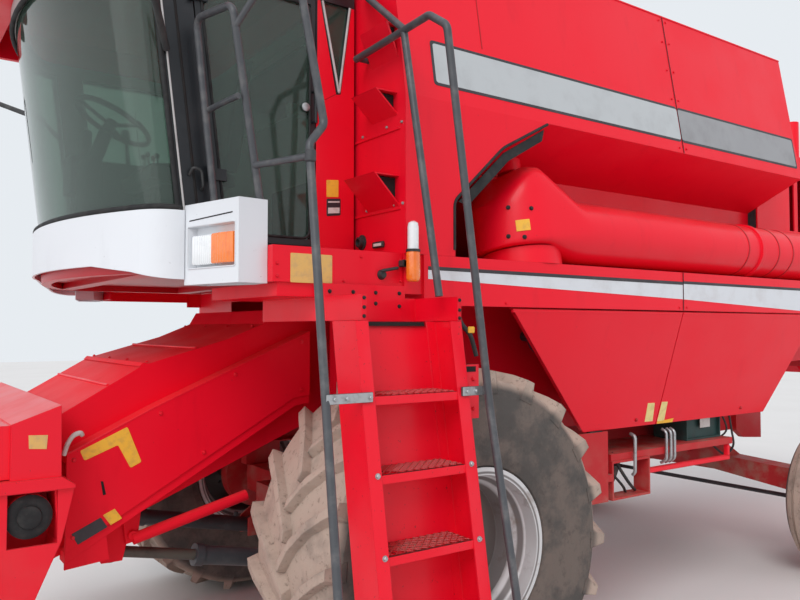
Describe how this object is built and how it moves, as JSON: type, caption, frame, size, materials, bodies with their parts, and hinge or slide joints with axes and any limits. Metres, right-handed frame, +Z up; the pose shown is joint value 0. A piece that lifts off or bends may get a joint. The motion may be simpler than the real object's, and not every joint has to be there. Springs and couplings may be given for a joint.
{
  "type": "combine harvester",
  "caption": "Self-propelled combine harvester without its header: cab, grain tank, feeder house, unloading auger, straw hood and lugged tyres.",
  "frame": {"origin": "point on the ground below the middle of the whole machine", "axes": "+X forward, +Y to the machine's left, +Z up"},
  "size_m": [7.914, 3.8857, 3.859],
  "materials": {
    "red_paint": "gloss",
    "dark_red_paint": "satin",
    "white_paint": "gloss",
    "charcoal": "satin",
    "silver_paint": "satin",
    "bare_steel": "worn",
    "black_plastic": "matte",
    "lens": "gloss",
    "window": "clear",
    "tread_rubber": "matte",
    "seat_fabric": "woven",
    "engine_grey": "satin"
  },
  "bodies": {
    "machine": {"main_frame": "dark_red_paint", "front_axle": "dark_red_paint", "rear_axle_beam": "dark_red_paint", "separator_body": "red_paint", "side_bands": "red_paint", "drive_pulleys": "charcoal", "grain_tank": "red_paint", "tank_filler": "red_paint", "auger_turret": "red_paint", "cab_frame": "charcoal", "cab_roof": "red_paint", "cab_glass": "window", "front_fairing": "white_paint", "lamps": "lens", "operator_seat": "seat_fabric", "cab_console": "black_plastic", "platform": "red_paint", "ladder": "red_paint", "handrails": "charcoal", "mirrors": "black_plastic", "engine_block": "engine_grey", "engine_housing": "red_paint", "rear_hood": "red_paint", "straw_walkers": "bare_steel", "cleaning_shoe": "bare_steel", "chopper_housing": "dark_red_paint", "fuel_tank": "black_plastic", "battery_box": "black_plastic"},
    "steering_column_wheel": {"steering_wheel": "black_plastic"},
    "screen": {"rotary_screen": "charcoal"},
    "chopper": {"chopper_rotor": "bare_steel"},
    "tail": {"tailboard": "red_paint"},
    "panel_left_front": {"side_panel_left_front": "red_paint"},
    "panel_left_rear": {"side_panel_left_rear": "red_paint"},
    "panel_right_front": {"side_panel_right_front": "red_paint"},
    "panel_right_rear": {"side_panel_right_rear": "red_paint"},
    "door": {"cab_door": "charcoal", "door_pane": "window"},
    "feeder": {"feeder_house": "red_paint", "feeder_frame": "red_paint", "feeder_conveyor": "bare_steel"},
    "lift_cylinder_barrels": {"lift_barrels": "charcoal"},
    "lift_cylinder_rods": {"lift_rods": "bare_steel"},
    "auger": {"auger_tube": "red_paint"},
    "wheel_front_left": {"front_rim_left": "silver_paint", "front_tyre_left": "tread_rubber"},
    "wheel_front_right": {"front_rim_right": "silver_paint", "front_tyre_right": "tread_rubber"},
    "steer_knuckle_left": {"knuckle_left": "dark_red_paint"},
    "steer_knuckle_right": {"knuckle_right": "dark_red_paint"},
    "steer_tie_rod": {"tie_rod": "charcoal"},
    "wheel_rear_left": {"rear_wheel_left": "silver_paint", "rear_tyre_left": "tread_rubber"},
    "wheel_rear_right": {"rear_wheel_right": "silver_paint", "rear_tyre_right": "tread_rubber"}
  },
  "joints": [
    {"name": "front_left_spin", "type": "hinge", "parent": "machine", "child": "wheel_front_left", "pos_m": [2.107, 1.18, 0.8], "axis": [0, 1, 0], "continuous": true},
    {"name": "front_right_spin", "type": "hinge", "parent": "machine", "child": "wheel_front_right", "pos_m": [2.107, -1.18, 0.8], "axis": [0, 1, 0], "continuous": true},
    {"name": "steer_left", "type": "hinge", "parent": "machine", "child": "steer_knuckle_left", "pos_m": [-1.613, 0.985, 0.53], "axis": [0, 0, 1], "range_deg": [-38, 38]},
    {"name": "steer_right", "type": "hinge", "parent": "machine", "child": "steer_knuckle_right", "pos_m": [-1.613, -0.985, 0.53], "axis": [0, 0, 1], "range_deg": [-38, 38]},
    {"name": "tie_rod_pivot", "type": "hinge", "parent": "steer_knuckle_left", "child": "steer_tie_rod", "pos_m": [-1.803, 0.985, 0.45], "axis": [0, 0, 1], "range_deg": [-38, 38]},
    {"name": "steering_wheel_turn", "type": "hinge", "parent": "machine", "child": "steering_column_wheel", "pos_m": [3.297, 0, 2.77], "axis": [-0.4695, 0, 0.8829], "range_deg": [-533, 533]},
    {"name": "rear_left_spin", "type": "hinge", "parent": "steer_knuckle_left", "child": "wheel_rear_left", "pos_m": [-1.613, 1.275, 0.53], "axis": [0, 1, 0], "continuous": true},
    {"name": "rear_right_spin", "type": "hinge", "parent": "steer_knuckle_right", "child": "wheel_rear_right", "pos_m": [-1.613, -1.275, 0.53], "axis": [0, 1, 0], "continuous": true},
    {"name": "feeder_lift", "type": "hinge", "parent": "machine", "child": "feeder", "pos_m": [2.107, 0, 1.56], "axis": [0, -1, 0], "range_deg": [-12, 8]},
    {"name": "lift_barrel_tilt", "type": "hinge", "parent": "machine", "child": "lift_cylinder_barrels", "pos_m": [2.282, 0, 0.545], "axis": [0, -1, 0], "range_deg": [-14, 9]},
    {"name": "lift_rod_slide", "type": "slide", "parent": "lift_cylinder_barrels", "child": "lift_cylinder_rods", "axis": [0.9786, 0, 0.2059], "range_m": [-0.22, 0.15]},
    {"name": "auger_swing", "type": "hinge", "parent": "machine", "child": "auger", "pos_m": [1.507, 1.14, 2.15], "axis": [0, 0.1736, -0.9848], "range_deg": [0, 90]},
    {"name": "door_swing", "type": "hinge", "parent": "machine", "child": "door", "pos_m": [3.10692, 0.964, 2.29], "axis": [-0.1219, 0, -0.9925], "range_deg": [0, 65]},
    {"name": "panel_left_front_lift", "type": "hinge", "parent": "machine", "child": "panel_left_front", "pos_m": [1.107, 1.34, 1.85], "axis": [1, 0, 0], "range_deg": [0, 95]},
    {"name": "panel_left_rear_lift", "type": "hinge", "parent": "machine", "child": "panel_left_rear", "pos_m": [-0.293, 1.34, 1.85], "axis": [1, 0, 0], "range_deg": [0, 95]},
    {"name": "panel_right_front_lift", "type": "hinge", "parent": "machine", "child": "panel_right_front", "pos_m": [1.107, -1.34, 1.85], "axis": [-1, 0, 0], "range_deg": [0, 95]},
    {"name": "panel_right_rear_lift", "type": "hinge", "parent": "machine", "child": "panel_right_rear", "pos_m": [-0.293, -1.34, 1.85], "axis": [-1, 0, 0], "range_deg": [0, 95]},
    {"name": "screen_spin", "type": "hinge", "parent": "machine", "child": "screen", "pos_m": [-1.673, -1.028, 2.62], "axis": [0, 1, 0], "continuous": true},
    {"name": "chopper_spin", "type": "hinge", "parent": "machine", "child": "chopper", "pos_m": [-3.673, 0, 1.65], "axis": [0, 1, 0], "continuous": true},
    {"name": "tailboard_tilt", "type": "hinge", "parent": "machine", "child": "tail", "pos_m": [-3.945, 0, 1.626], "axis": [0, 1, 0], "range_deg": [0, 50]}
  ],
  "couplings": [
    {"joint": "steer_right", "follows": "steer_left", "ratio": 1},
    {"joint": "tie_rod_pivot", "follows": "steer_left", "ratio": -1},
    {"joint": "steering_wheel_turn", "follows": "steer_left", "ratio": -14},
    {"joint": "lift_barrel_tilt", "follows": "feeder_lift", "ratio": 1},
    {"joint": "lift_rod_slide", "follows": "feeder_lift", "m_per_rad": 1.0268}
  ]
}
